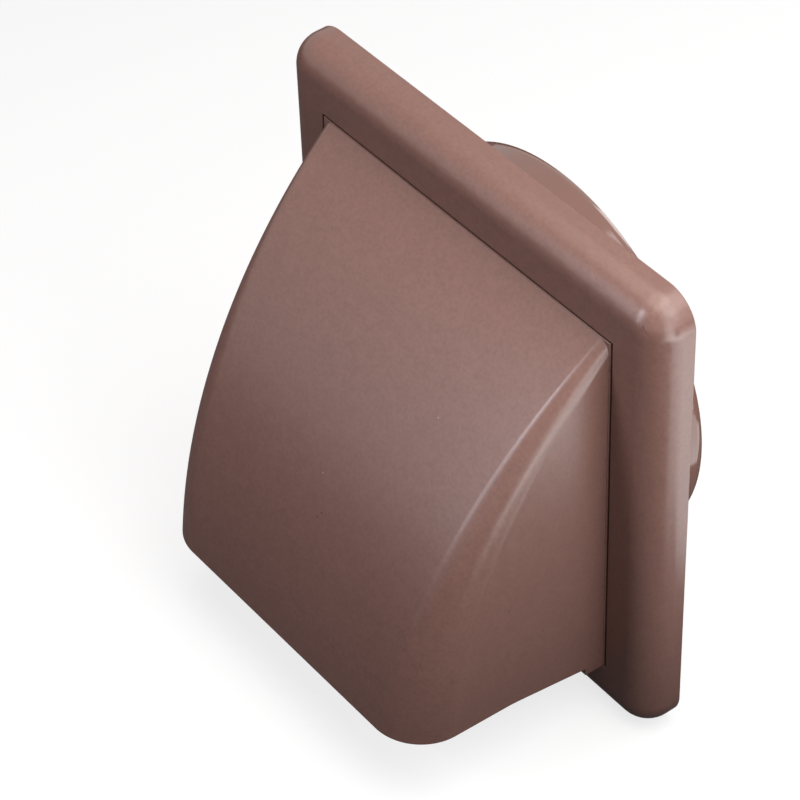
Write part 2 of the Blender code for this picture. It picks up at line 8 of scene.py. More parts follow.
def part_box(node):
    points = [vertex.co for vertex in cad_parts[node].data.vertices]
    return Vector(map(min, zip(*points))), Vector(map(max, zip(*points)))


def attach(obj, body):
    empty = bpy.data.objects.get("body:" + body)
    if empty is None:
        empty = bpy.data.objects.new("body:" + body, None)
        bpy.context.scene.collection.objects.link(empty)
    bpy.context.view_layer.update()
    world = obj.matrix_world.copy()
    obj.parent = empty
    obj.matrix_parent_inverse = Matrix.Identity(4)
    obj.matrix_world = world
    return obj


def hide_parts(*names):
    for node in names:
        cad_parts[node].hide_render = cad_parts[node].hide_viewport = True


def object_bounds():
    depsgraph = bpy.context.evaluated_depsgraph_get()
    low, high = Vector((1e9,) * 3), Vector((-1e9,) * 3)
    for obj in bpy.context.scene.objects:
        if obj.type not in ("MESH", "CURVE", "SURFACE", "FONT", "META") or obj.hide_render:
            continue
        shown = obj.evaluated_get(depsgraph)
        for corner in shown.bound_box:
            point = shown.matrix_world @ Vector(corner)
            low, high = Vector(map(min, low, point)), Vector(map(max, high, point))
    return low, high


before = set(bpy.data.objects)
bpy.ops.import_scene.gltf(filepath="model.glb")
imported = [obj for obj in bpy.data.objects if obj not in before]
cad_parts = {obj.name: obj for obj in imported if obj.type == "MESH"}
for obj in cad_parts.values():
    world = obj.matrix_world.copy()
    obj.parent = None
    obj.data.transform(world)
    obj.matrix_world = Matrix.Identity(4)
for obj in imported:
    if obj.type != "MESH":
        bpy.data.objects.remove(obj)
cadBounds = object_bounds()  # the CAD model's box, read before any node is replaced

mm = 0.001
scene = bpy.context.scene

# Lowest and highest corners of the CAD nodes
frameLow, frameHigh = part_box("surround_frame")
hoodLow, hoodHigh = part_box("cowl_hood")
plateLow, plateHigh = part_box("spigot_plate")
flapLow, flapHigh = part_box("damper_flap")
pinLow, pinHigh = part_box("flap_pin")
sealLow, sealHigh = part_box("seat_seal")

# Sizes that several pieces share
shared = dict(
    fitGap=0.3 * mm,  # between pieces that touch
    runGap=0.6 * mm,  # between pieces that move past each other
    spigotRadius=61.8 * mm,
    windowGap=0.75 * mm,  # round the hood's sleeve, in the frame's window
    backPlate=2.5 * mm,
    edge=0.25 * mm,  # radius of the small moulded edges
    past=2 * mm,  # how far a cutter reaches past what it cuts
    merge=0.001 * mm,  # points nearer than this become one
)
# The hood's snap clips, which reach into slots of the frame
clip = dict(
    spacing=60 * mm,
    width=10 * mm,
    thickness=1.8 * mm,
    length=4 * mm,
    barb=1.9 * mm,
    barbLength=3.1 * mm,
    edge=0.15 * mm,
)
sleeveOuter = hoodHigh.x - clip["barb"]
sleeveBack = hoodHigh.y - clip["length"]
clipCatch = sleeveBack + shared["runGap"]
windowHalf = sleeveOuter + shared["windowGap"]
windowDrop = sleeveOuter - hoodHigh.z  # of the window and the sleeve below the vent's axis
plateFront = -shared["backPlate"]
hingeY = (pinLow.y + pinHigh.y) / 2
hingeZ = (pinLow.z + pinHigh.z) / 2
pinRadius = (pinHigh.z - pinLow.z) / 2
pinHole = pinRadius + shared["fitGap"]
screwNodes = [f"plate_screw_{number}" for number in range(1, 5)]
screwPlaces = []  # the middles of the flat faces of their heads
for node in screwNodes:
    low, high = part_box(node)
    screwPlaces.append(Vector(((low.x + high.x) / 2, high.y, (low.z + high.z) / 2)))
print("frame read: plate", round(2 * frameHigh.x / mm, 1), "mm wide")


# Node trees


class Wire:  # a node's output that can stand in a sum
    def __init__(self, graph, socket):
        self.graph = graph
        self.socket = socket

    def __add__(self, other):
        return self.graph.maths("ADD", self, other)

    def __radd__(self, other):
        return self.graph.maths("ADD", other, self)

    def __sub__(self, other):
        return self.graph.maths("SUBTRACT", self, other)

    def __rsub__(self, other):
        return self.graph.maths("SUBTRACT", other, self)

    def __mul__(self, other):
        return self.graph.maths("MULTIPLY", self, other)

    def __rmul__(self, other):
        return self.graph.maths("MULTIPLY", other, self)

    def __truediv__(self, other):
        return self.graph.maths("DIVIDE", self, other)

    def __rtruediv__(self, other):
        return self.graph.maths("DIVIDE", other, self)

    def beside(self, title):  # another output of the same node
        return Wire(self.graph, self.socket.node.outputs[title])


class Graph:  # writes the nodes of one tree
    def __init__(self, tree):
        self.tree = tree

    def add(self, kind, settings=None, values=None, out=0):
        node = self.tree.nodes.new(kind)
        for key, value in (settings or {}).items():
            setattr(node, key, value)
        for key, value in (values or {}).items():
            for item in value if isinstance(value, list) else [value]:  # a list's wires share a socket
                if isinstance(item, Wire):
                    self.tree.links.new(item.socket, node.inputs[key])
                else:
                    node.inputs[key].default_value = item
        return Wire(self, node.outputs[out]) if node.outputs else node

    def maths(self, operation, *values):
        return self.add("ShaderNodeMath", {"operation": operation}, dict(enumerate(values)))

    def limited(self, value):  # kept between 0 and 1
        return self.add("ShaderNodeClamp", {}, {"Value": value})

    def mixed(self, mask, first, second):  # colours
        return self.add("ShaderNodeMix", {"data_type": "RGBA"}, {0: mask, 6: first, 7: second}, 2)


def newGeometryTree(name, sockets):  # sockets of (name, kind), and what they give inside the tree
    tree = bpy.data.node_groups.new(name, "GeometryNodeTree")
    tree.interface.new_socket("Geometry", in_out="OUTPUT", socket_type="NodeSocketGeometry")
    for title, kind in sockets:
        tree.interface.new_socket(title, in_out="INPUT", socket_type=f"NodeSocket{kind}")
    graph = Graph(tree)
    entry = graph.add("NodeGroupInput")
    return graph, {title: entry.beside(title) for title, kind in sockets}


def endTree(graph, geometry, material):
    real = graph.add("GeometryNodeRealizeInstances", {}, {"Geometry": geometry})
    painted = graph.add("GeometryNodeSetMaterial", {}, {"Geometry": real, "Material": material})
    graph.add("NodeGroupOutput", {}, {"Geometry": painted})


def grow(name, tree, values):  # one plain object from a geometry tree
    piece = bpy.data.objects.new(name, bpy.data.meshes.new(name))
    scene.collection.objects.link(piece)
    modifier = piece.modifiers.new(tree.name, "NODES")
    modifier.node_group = tree
    for item in tree.interface.items_tree:
        if item.in_out == "INPUT":
            modifier[item.identifier] = values[item.name]
    settle(piece)
    return piece


# Meshes


def settle(piece):  # its modifiers become plain mesh
    bpy.context.view_layer.update()
    evaluated = piece.evaluated_get(bpy.context.evaluated_depsgraph_get())
    mesh = bpy.data.meshes.new_from_object(evaluated)
    piece.modifiers.clear()
    piece.data = mesh
    return piece


def pieceFrom(bm, name):
    bmesh.ops.remove_doubles(bm, verts=bm.verts, dist=shared["merge"])
    bare = [edge for edge in bm.edges if not edge.link_faces]  # along a turned piece's own axis
    bmesh.ops.delete(bm, geom=bare, context="EDGES")
    bmesh.ops.recalc_face_normals(bm, faces=bm.faces)
    mesh = bpy.data.meshes.new(name)
    bm.to_mesh(mesh)
    bm.free()
    piece = bpy.data.objects.new(name, mesh)
    scene.collection.objects.link(piece)
    return piece


def combine(piece, operation, *others):
    for other in others:
        modifier = piece.modifiers.new(operation, "BOOLEAN")
        modifier.operation = operation
        modifier.solver = "EXACT"
        modifier.object = other
    settle(piece)
    for other in others:
        bpy.data.objects.remove(other)
    return piece


def breakEdges(piece, width, angle=35):  # a small round on every sharp edge
    bevel = piece.modifiers.new("edges", "BEVEL")
    bevel.width = width
    bevel.segments = 2
    bevel.limit_method = "ANGLE"
    bevel.angle_limit = math.radians(angle)
    bevel.use_clamp_overlap = True
    return settle(piece)


def smooth(piece, angle=35):
    piece.data.shade_smooth()
    piece.data.set_sharp_from_angle(angle=math.radians(angle))
    normals = piece.modifiers.new("normals", "WEIGHTED_NORMAL")
    normals.keep_sharp = True
    return settle(piece)


def roundedOutline(corners, steps=5):  # corners of (x, y, radius) become one outline
    outline = []
    for i, (x, y, radius) in enumerate(corners):
        corner = Vector((x, y))
        if radius == 0:
            outline.append(corner)
            continue
        before = (Vector(corners[i - 1][:2]) - corner).normalized()
        after = (Vector(corners[(i + 1) % len(corners)][:2]) - corner).normalized()
        half = before.angle(after) / 2
        centre = corner + (before + after).normalized() * radius / math.sin(half)
        first = corner + before * radius / math.tan(half) - centre
        last = corner + after * radius / math.tan(half) - centre
        sweep = math.copysign(math.pi - 2 * half, first.cross(last))
        for step in range(steps + 1):
            outline.append(centre + Matrix.Rotation(sweep * step / steps, 2) @ first)
    return outline


def ringOutline(inner, outer, foot, top, radius, steps=5):  # a raised ring, rounded at its top
    corners = [(inner, foot, 0), (inner, top, radius), (outer, top, radius), (outer, foot, 0)]
    return roundedOutline(corners, steps)


def barOutline(inner, outer, half, radius, steps=3):  # a round bar or tube, rounded at both ends
    corners = [(inner, -half, 0), (outer, -half, radius), (outer, half, radius), (inner, half, 0)]
    return roundedOutline(corners, steps)


def squareLoop(half, radius, y, drops=(0, 0), steps=14):  # the same count of points whatever its radius
    loop = []
    radius = max(radius, 0)
    for corner in range(4):
        middle = math.radians(45 + 90 * corner)
        centreX = math.copysign(half - radius, math.cos(middle))
        centreZ = math.copysign(half - radius, math.sin(middle))
        centreZ -= drops[0] if centreZ > 0 else drops[1]  # of the top side and of the bottom side
        for step in range(steps + 1):
            angle = math.radians(90 * (corner + step / steps))
            loop.append((centreX + radius * math.cos(angle), y, centreZ + radius * math.sin(angle)))
    return loop


def skin(bm, loops):  # closed both round its loops and from the last loop to the first
    rings = [[bm.verts.new(point) for point in loop] for loop in loops]
    for ring, following in zip(rings, rings[1:] + rings[:1]):
        for i in range(len(ring)):
            j = (i + 1) % len(ring)
            bm.faces.new((ring[i], ring[j], following[j], following[i]))


def squareSweep(name, section, cornerRadius, dropAt):  # a closed (half width, y) section round a square
    bm = bmesh.new()
    outer = max(half for half, y in section)
    skin(bm, [squareLoop(half, cornerRadius - (outer - half), y, dropAt(half, y)) for half, y in section])
    return pieceFrom(bm, name)


def turned(name, section, steps=192, centre=(0, 0, 0)):  # a closed (radius, y) section round Y
    bm = bmesh.new()
    loops = []
    for step in range(steps):
        angle = 2 * math.pi * step / steps
        loops.append([(radius * math.cos(angle), y, radius * math.sin(angle)) for radius, y in section])
    skin(bm, loops)
    bmesh.ops.translate(bm, verts=bm.verts, vec=centre)
    return pieceFrom(bm, name)


def slab(bm, outline, low, high, turn=Matrix()):  # an (x, y) outline from Z = low to Z = high
    face = bm.faces.new([bm.verts.new((x, y, low)) for x, y in outline])
    base = list(face.verts)
    grown = bmesh.ops.extrude_face_region(bm, geom=[face])["geom"]
    top = [item for item in grown if isinstance(item, bmesh.types.BMVert)]
    bmesh.ops.translate(bm, verts=top, vec=(0, 0, high - low))
    bmesh.ops.transform(bm, matrix=turn, verts=base + top)


def block(bm, low, high):
    low, high = Vector(low), Vector(high)
    place = Matrix.Translation((low + high) / 2) @ Matrix.Diagonal((*(high - low), 1))
    bmesh.ops.create_cube(bm, size=1, matrix=place)


def hingeBore(bm, x, length, sides):  # a round cutter on the flap's axis, for the pin's hole
    place = Matrix.Translation((x, hingeY, hingeZ)) @ Matrix.Rotation(math.radians(90), 4, "Y")
    size = dict(segments=sides, radius1=pinHole, radius2=pinHole, depth=length)
    bmesh.ops.create_cone(bm, cap_ends=True, matrix=place, **size)


facingWall = Matrix.Rotation(math.radians(90), 4, "X")  # lays an (x, y) outline in X and Z, its +Z to -Y
# Lays what was turned round Y along the flap's axis
alongHinge = Matrix.Translation((0, hingeY, hingeZ)) @ Matrix.Rotation(math.radians(-90), 4, "Z")


def dress(piece, body, slotName, material, *nodes):
    piece.data.materials.clear()
    piece.data.materials.append(material)
    smooth(piece)
    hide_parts(*nodes)
    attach(piece, body)
    print(piece.name, len(piece.data.polygons), "faces on", body)


# Finishes


def newMaterial(name, **constants):  # constants are the shader's own sockets
    material = bpy.data.materials.new(name)
    material.use_nodes = True
    graph = Graph(material.node_tree)
    shader = material.node_tree.nodes["Principled BSDF"]
    for title, value in constants.items():
        shader.inputs[title.replace("_", " ")].default_value = value
    where = graph.add("ShaderNodeTexCoord", out="Object")
    return material, graph, shader, where


def noise(graph, where, scale, detail=2, roughness=0.5):
    values = {"Vector": where, "Scale": scale, "Detail": detail, "Roughness": roughness}
    return graph.add("ShaderNodeTexNoise", {}, values)


def stretched(graph, where, scale):
    return graph.add("ShaderNodeMapping", {}, {"Vector": where, "Scale": scale})


def raised(graph, height, look):  # the relief that a pattern gives a finish
    values = {"Strength": look["bumpStrength"], "Distance": look["bumpHeight"], "Height": height}
    return graph.add("ShaderNodeBump", {}, values)


def feed(graph, shader, **wires):
    for title, wire in wires.items():
        graph.tree.links.new(wire.socket, shader.inputs[title.replace("_", " ")])


def scatteredSpots(graph, where, look, radius):  # 1 inside a few small round spots
    values = {"Vector": where, "Scale": look["spotsPerMetre"], "Randomness": 1}
    cell = graph.add("ShaderNodeTexVoronoi", {}, values, "Color")
    distance = graph.add("ShaderNodeTexVoronoi", {}, values, "Distance")
    luck = graph.add("ShaderNodeSeparateColor", {}, {0: cell})
    near = graph.maths("LESS_THAN", distance, radius * look["spotsPerMetre"])
    return near * graph.maths("LESS_THAN", luck, look["spotShare"])


sparkFinish = dict(
    colour=(0.162, 0.083, 0.067, 1),
    deep=(0.138, 0.070, 0.057, 1),
    pale=(0.42, 0.33, 0.29, 1),  # of specks and scuffs
    grainPerMetre=950,
    sparkPerMetre=2600,
    mottlePerMetre=300,
    flowPerMetre=(26, 26, 5),  # faint streaks of the moulding, up and down
    grainTone=2.2,  # how much each pattern changes the colour
    mottleTone=1.1,
    flowTone=0.4,
    roughness=0.30,
    mottleRough=0.05,
    grainRough=0.06,
    grainRelief=0.7,
    sparkRelief=0.3,
    bumpStrength=0.5,
    bumpHeight=0.04 * mm,
    spotsPerMetre=75,
    spotShare=0.16,
    speckRadius=0.26 * mm,
    speckStrength=0.45,
    scuffRadius=0.13 * mm,
    scuffStretch=0.12,  # scuffs are specks drawn out along the height
    scuffStrength=0.3,
)


def texturedPlastic():  # spark-eroded mould finish: a fine even grain, a satin sheen
    look = sparkFinish
    material, graph, shader, where = newMaterial("texturedBrownPlastic", IOR=1.5)
    grain = noise(graph, where, look["grainPerMetre"], detail=1)
    spark = noise(graph, where, look["sparkPerMetre"], detail=1)
    mottle = noise(graph, where, look["mottlePerMetre"])
    flow = noise(graph, stretched(graph, where, look["flowPerMetre"]), scale=1)
    tone = (grain - 0.5) * look["grainTone"] + (mottle - 0.5) * look["mottleTone"]
    tone = graph.limited(tone + (flow - 0.5) * look["flowTone"] + 0.5)
    colour = graph.mixed(tone, look["deep"], look["colour"])
    specks = scatteredSpots(graph, where, look, look["speckRadius"])
    drawnOut = stretched(graph, where, (1, 1, look["scuffStretch"]))
    scuffs = scatteredSpots(graph, drawnOut, look, look["scuffRadius"])
    marks = graph.maths("MAXIMUM", specks * look["speckStrength"], scuffs * look["scuffStrength"])
    colour = graph.mixed(marks, colour, look["pale"])
    rough = look["roughness"] + (mottle - 0.5) * look["mottleRough"] + (grain - 0.5) * look["grainRough"]
    bump = raised(graph, grain * look["grainRelief"] + spark * look["sparkRelief"], look)
    feed(graph, shader, Base_Color=colour, Roughness=rough, Normal=bump)
    return material


glossFinish = dict(
    colour=(0.158, 0.082, 0.066, 1),
    deep=(0.146, 0.075, 0.060, 1),
    roughness=0.10,
    flapRoughness=0.3,
    smearPerMetre=60,
    smearContrast=1.5,
    smearShift=0.25,
    smearRough=0.12,
    dustPerMetre=2400,
    dustFrom=0.68,  # dust shows where its noise is above this
    dustContrast=4,
    dustRough=0.2,
    ripplePerMetre=110,
    bumpStrength=0.5,
    bumpHeight=0.01 * mm,
)


def glossyPlastic(name, roughness):  # polished mould finish, with faint smears and sink ripple
    look = glossFinish
    material, graph, shader, where = newMaterial(name, IOR=1.5)
    smear = noise(graph, where, look["smearPerMetre"], detail=5, roughness=0.6)
    ripple = noise(graph, where, look["ripplePerMetre"])
    dust = noise(graph, where, look["dustPerMetre"])
    tone = graph.limited(smear * look["smearContrast"] - look["smearShift"])
    colour = graph.mixed(tone, look["deep"], look["colour"])
    dusty = graph.limited((dust - look["dustFrom"]) * look["dustContrast"])
    rough = roughness + (smear - 0.5) * look["smearRough"] + dusty * look["dustRough"]
    feed(graph, shader, Base_Color=colour, Roughness=rough, Normal=raised(graph, ripple, look))
    return material


foamFinish = dict(
    colour=(0.045, 0.044, 0.043, 1),
    deep=(0.012, 0.012, 0.013, 1),
    cellsPerMetre=2600,
    cellContrast=1.4,
    softPerMetre=400,
    roughness=0.85,
    softRough=0.2,
    bumpStrength=0.9,
    bumpHeight=0.08 * mm,
)


def closedCellFoam():
    look = foamFinish
    material, graph, shader, where = newMaterial("closedCellFoam")
    values = {"Vector": where, "Scale": look["cellsPerMetre"], "Randomness": 1}
    cells = graph.add("ShaderNodeTexVoronoi", {}, values)
    soft = noise(graph, where, look["softPerMetre"], detail=3)
    colour = graph.mixed(graph.limited(cells * look["cellContrast"]), look["deep"], look["colour"])
    rough = look["roughness"] + (soft - 0.5) * look["softRough"]
    feed(graph, shader, Base_Color=colour, Roughness=rough, Normal=raised(graph, cells, look))
    return material


steelFinish = dict(
    colour=(0.66, 0.65, 0.63, 1),
    deep=(0.42, 0.41, 0.40, 1),
    linesPerMetre=(60, 9000, 9000),  # drawing lines along X
    roughness=0.22,
    lineRough=0.18,
    bumpStrength=0.3,
    bumpHeight=0.01 * mm,
)


def drawnSteel():
    look = steelFinish
    material, graph, shader, where = newMaterial("drawnSteel", Metallic=1.0)
    lines = noise(graph, stretched(graph, where, look["linesPerMetre"]), scale=1, detail=3)
    colour = graph.mixed(lines, look["deep"], look["colour"])
    rough = look["roughness"] + lines * look["lineRough"]
    feed(graph, shader, Base_Color=colour, Roughness=rough, Normal=raised(graph, lines, look))
    return material


zincFinish = dict(
    colour=(0.72, 0.72, 0.70, 1),
    deep=(0.50, 0.49, 0.44, 1),
    cloudPerMetre=700,
    grainPerMetre=6000,
    roughness=0.3,
    cloudRough=0.2,
    bumpStrength=0.4,
    bumpHeight=0.01 * mm,
)


def zincPlate():
    look = zincFinish
    material, graph, shader, where = newMaterial("zincPlate", Metallic=1.0)
    cloud = noise(graph, where, look["cloudPerMetre"], detail=4, roughness=0.6)
    grain = noise(graph, where, look["grainPerMetre"])
    colour = graph.mixed(cloud, look["deep"], look["colour"])
    rough = look["roughness"] + cloud * look["cloudRough"]
    feed(graph, shader, Base_Color=colour, Roughness=rough, Normal=raised(graph, grain, look))
    return material


sparkBrown = texturedPlastic()
glossBrown = glossyPlastic("glossyBrownPlastic", glossFinish["roughness"])
flapBrown = glossyPlastic("satinBrownPlastic", glossFinish["flapRoughness"])
foam = closedCellFoam()
steel = drawnSteel()
zinc = zincPlate()
print("finishes made")


# Surround frame

surround = dict(
    wall=2.5 * mm,
    cornerRadius=10.4 * mm,
    edgeRadius=9.4 * mm,
    backEdge=0.3 * mm,
    windowEdge=0.35 * mm,
    ribThickness=1.6 * mm,
    ribSpacing=34 * mm,
    ribCount=3,  # on each side
    bossRadius=3.5 * mm,
    bossHole=1.75 * mm,
    bossHoleDepth=9.6 * mm,
)
windowBack = plateFront - shared["fitGap"]
ribBack = windowBack - shared["fitGap"]  # of the ribs and the bosses


def frameShell():
    size = surround
    half, front, wall = frameHigh.x, frameLow.y, size["wall"]
    corners = [
        (half, 0, size["backEdge"]),
        (half, front, size["edgeRadius"]),
        (windowHalf, front, size["windowEdge"]),
        (windowHalf, sleeveBack, 0),
        (windowHalf, windowBack, shared["edge"]),
        (windowHalf + wall, windowBack, shared["edge"]),
        (windowHalf + wall, sleeveBack, 0),
        (windowHalf + wall, front + wall, 2 * shared["edge"]),
        (half - wall, front + wall, size["edgeRadius"] - wall),
        (half - wall, 0, size["backEdge"]),
    ]

    def windowDrops(half, y):  # behind the sleeve the window's top rises again, to clear the hinge
        if half > windowHalf + wall + shared["edge"]:
            return 0, 0
        share = min(max((y - sleeveBack) / (front - sleeveBack), 0), 1)
        return windowDrop * share, windowDrop

    outline = roundedOutline(corners, steps=12)
    return squareSweep("surroundFrame", outline, size["cornerRadius"], windowDrops)


def ribTree():  # one rib, then a row of them, then a row on each side
    sockets = [("Rib", "Object"), ("Count", "Int"), ("Spacing", "Float"), ("Material", "Material")]
    graph, size = newGeometryTree("channelRibs", sockets)
    asMade = {"transform_space": "ORIGINAL"}
    rib = graph.add("GeometryNodeObjectInfo", asMade, {"Object": size["Rib"]}, "Geometry")
    offset = graph.add("ShaderNodeCombineXYZ", {}, {2: size["Spacing"]})
    start = graph.add("ShaderNodeCombineXYZ", {}, {2: (size["Count"] - 1) * size["Spacing"] * -0.5})
    values = {"Count": size["Count"], "Start Location": start, "Offset": offset}
    row = graph.add("GeometryNodeMeshLine", {}, values)
    ribs = graph.add("GeometryNodeInstanceOnPoints", {}, {"Points": row, "Instance": rib})
    corners = graph.add("GeometryNodeMeshLine", {}, {"Count": 4, "Offset": (0, 0, 0)})
    quarter = graph.add("GeometryNodeInputIndex") * (math.pi / 2)
    turn = graph.add("ShaderNodeCombineXYZ", {}, {1: quarter})
    values = {"Points": corners, "Instance": ribs, "Rotation": turn}
    endTree(graph, graph.add("GeometryNodeInstanceOnPoints", {}, values), size["Material"])
    return graph.tree


def channelRibs():  # across the channel between the outer wall and the window's
    size = surround
    inset = size["wall"] / 2
    outer, inner, front = frameHigh.x - inset, windowHalf + inset, frameLow.y + inset
    corners = [
        (outer, ribBack, 0),
        (outer, front, size["edgeRadius"] - inset),
        (inner, front, 0),
        (inner, ribBack, 0),
    ]
    bm = bmesh.new()
    slab(bm, roundedOutline(corners, steps=8), -size["ribThickness"] / 2, size["ribThickness"] / 2)
    rib = pieceFrom(bm, "rib")
    values = {"Rib": rib, "Count": size["ribCount"], "Spacing": size["ribSpacing"], "Material": sparkBrown}
    ribs = grow("ribs", ribTree(), values)
    bpy.data.objects.remove(rib)
    return ribs


def roundBar(name, radius, low, high, place):  # along Y, in line with a screw
    section = [(0, low), (radius, low), (radius, high), (0, high)]
    return turned(name, section, steps=48, centre=(place.x, 0, place.z))


def screwBosses():  # and the cutters of their holes
    size, front = surround, frameLow.y + surround["wall"] / 2
    bosses, holes = [], []
    for place in screwPlaces:
        bosses.append(roundBar("boss", size["bossRadius"], front, ribBack, place))
        holes.append(roundBar("bossHole", size["bossHole"], -size["bossHoleDepth"], shared["past"], place))
    return bosses, holes


def clipSlots():  # cutters of the slots for the hood's clips
    bm = bmesh.new()
    gap = shared["fitGap"]
    reach = clip["width"] / 2 + gap
    inner, outer = windowHalf - shared["past"], windowHalf + surround["wall"] + shared["past"]
    for side in (-1, 1):
        x = sorted((side * inner, side * outer))
        for z in (-clip["spacing"] / 2, clip["spacing"] / 2):
            block(bm, (x[0], clipCatch - gap, z - reach), (x[1], hoodHigh.y + gap, z + reach))
    return pieceFrom(bm, "clipSlots")


def buildSurround():
    surroundFrame = frameShell()
    bosses, holes = screwBosses()
    combine(surroundFrame, "UNION", channelRibs(), *bosses)
    combine(surroundFrame, "DIFFERENCE", *holes, clipSlots())
    dress(surroundFrame, "vent_body", "textured_brown", sparkBrown, "surround_frame")


buildSurround()


# Hood

hood = dict(
    arcRadius=184.2 * mm,
    topMargin=0.25 * mm,
    sideMargin=0.45 * mm,
    lipRise=7.1 * mm,  # of the lip above the feet
    topFillet=3.6 * mm,
    lipFillet=15.7 * mm,
    draft=math.radians(1.33),
    wall=2.2 * mm,
    bendDepth=32.1 * mm,  # where the lower edge turns down, in front of the frame
    bendDrop=1.0 * mm,
    bendRound=0.4 * mm,
    backDrop=4.5 * mm,
    footLength=6.2 * mm,
    footEdge=0.2 * mm,
    sleeveWall=2.2 * mm,
    overlap=0.5 * mm,
    lipRound=0.35 * mm,
    columns=72,
    rows=130,
    frontShare=0.18,  # of the columns, from the middle to the fillet
    filletShare=0.5,
    bendPower=6,  # the higher, the nearer to the lower edge the rows take on its bend
)
hoodFoot = frameLow.y - hood["footLength"]
hoodBack = sleeveBack - hood["overlap"]


def hoodRule():  # what the hood's tree is given, in metres and radians
    top = Vector((frameLow.y, hoodHigh.z - hood["topMargin"]))
    lip = Vector((hoodLow.y, hoodLow.z + hood["lipRise"]))
    chord = lip - top
    inward = Vector((-chord.y, chord.x)).normalized()
    centre = (top + lip) / 2 + inward * math.sqrt(hood["arcRadius"] ** 2 - (chord.length / 2) ** 2)
    bendY = frameLow.y - hood["bendDepth"]
    bendZ = lip.y - hood["bendDrop"]
    return {
        "Centre Y": centre.x,
        "Centre Z": centre.y,
        "Radius": hood["arcRadius"],
        "First angle": math.atan2(top.y - centre.y, top.x - centre.x),
        "Last angle": math.atan2(lip.y - centre.y, lip.x - centre.x),
        "Past top": hood["topMargin"] / hood["arcRadius"],
        "Top fillet": hood["topFillet"],
        "Lip fillet": hood["lipFillet"],
        "Half width": sleeveOuter - hood["sideMargin"],
        "Draft slope": math.tan(hood["draft"]),
        "Front Y": frameLow.y,
        "Back Y": hoodBack,
        "Lip Y": lip.x,
        "Lip Z": lip.y,
        "Front slope": hood["bendDrop"] / (bendY - lip.x),
        "Bend Y": bendY,
        "Bend Z": bendZ,
        "Bend round": hood["bendRound"],
        "Back slope": (hood["backDrop"] - hood["bendDrop"]) / (hoodFoot - bendY),
    }


def hoodTree(rule):  # a grid whose columns run from the middle round the fillet and back along the side
    sockets = [("Columns", "Int"), ("Rows", "Int"), ("Front share", "Float"), ("Fillet share", "Float")]
    sockets += [(title, "Float") for title in rule] + [("Material", "Material")]
    graph, size = newGeometryTree("hoodShell", sockets)
    maths = graph.maths
    values = {"Size X": 1, "Size Y": 1, "Vertices X": size["Columns"], "Vertices Y": size["Rows"]}
    grid = graph.add("GeometryNodeMeshGrid", {}, values)
    place = graph.add("ShaderNodeSeparateXYZ", {}, {0: graph.add("GeometryNodeInputPosition")})
    across = place + 0.5
    down = place.beside("Y") + 0.5
    front = graph.limited(across / size["Front share"])
    turn = graph.limited((across - size["Front share"]) / size["Fillet share"]) * (math.pi / 2)
    sideStart = size["Front share"] + size["Fillet share"]
    back = graph.limited((across - sideStart) / (1 - sideStart))
    drawIn = 1 - maths("COSINE", turn)

    def mouth(y):  # height of the hood's lower edge
        frontLine = size["Lip Z"] - (y - size["Lip Y"]) * size["Front slope"]
        backLine = size["Bend Z"] - (y - size["Bend Y"]) * size["Back slope"]
        return maths("SMOOTH_MIN", frontLine, backLine, size["Bend round"])

    def filletAt(angle):
        along = (angle - size["First angle"]) / (size["Last angle"] - size["First angle"])
        return size["Top fillet"] + (size["Lip fillet"] - size["Top fillet"]) * along

    endAngle, endY = size["Last angle"], size["Lip Y"]
    for nearer in range(3):  # closes in on the angle whose point lies on the lower edge
        arm = size["Radius"] - filletAt(endAngle) * drawIn
        endAngle = math.pi - maths("ARCSINE", (mouth(endY) - size["Centre Z"]) / arm)
        endY = size["Centre Y"] + arm * maths("COSINE", endAngle)

    topAngle = size["First angle"] - size["Past top"]
    angle = topAngle + (endAngle - topAngle) * down
    fillet = filletAt(angle)
    arm = size["Radius"] - fillet * drawIn
    y = size["Centre Y"] + arm * maths("COSINE", angle)
    z = size["Centre Z"] + arm * maths("SINE", angle)
    sideY = y + (size["Back Y"] - y) * back
    halfWidth = size["Half width"] - (size["Front Y"] - sideY) * size["Draft slope"]
    x = (halfWidth - fillet * (1 - maths("SINE", turn))) * front
    lowerStraight = mouth(y) + (mouth(size["Back Y"]) - mouth(y)) * back
    backTop = size["Centre Z"] + size["Radius"] * maths("SINE", topAngle) - size["Top fillet"]
    backZ = backTop + (mouth(size["Back Y"]) - backTop) * down
    lowness = maths("POWER", down, hood["bendPower"])
    sideZ = z + (backZ - z) * back + (mouth(sideY) - lowerStraight) * lowness
    spot = graph.add("ShaderNodeCombineXYZ", {}, {0: x, 1: sideY, 2: sideZ})
    bent = graph.add("GeometryNodeSetPosition", {}, {"Geometry": grid, "Position": spot})
    right = graph.add("GeometryNodeFlipFaces", {}, {"Mesh": bent})
    left = graph.add("GeometryNodeTransform", {}, {"Geometry": bent, "Scale": (-1, 1, 1)})
    both = graph.add("GeometryNodeJoinGeometry", {}, {"Geometry": [right, left]})
    values = {"Geometry": both, "Distance": shared["merge"]}
    endTree(graph, graph.add("GeometryNodeMergeByDistance", {}, values), size["Material"])
    return graph.tree


def hoodShell(rule):
    values = {"Columns": hood["columns"], "Rows": hood["rows"], "Material": sparkBrown}
    values |= {"Front share": hood["frontShare"], "Fillet share": hood["filletShare"]}
    cowlHood = grow("cowlHood", hoodTree(rule), values | rule)
    wall = cowlHood.modifiers.new("wall", "SOLIDIFY")
    wall.thickness = hood["wall"]
    wall.offset = -1
    wall.use_even_offset = True
    settle(cowlHood)
    return breakEdges(cowlHood, hood["lipRound"])


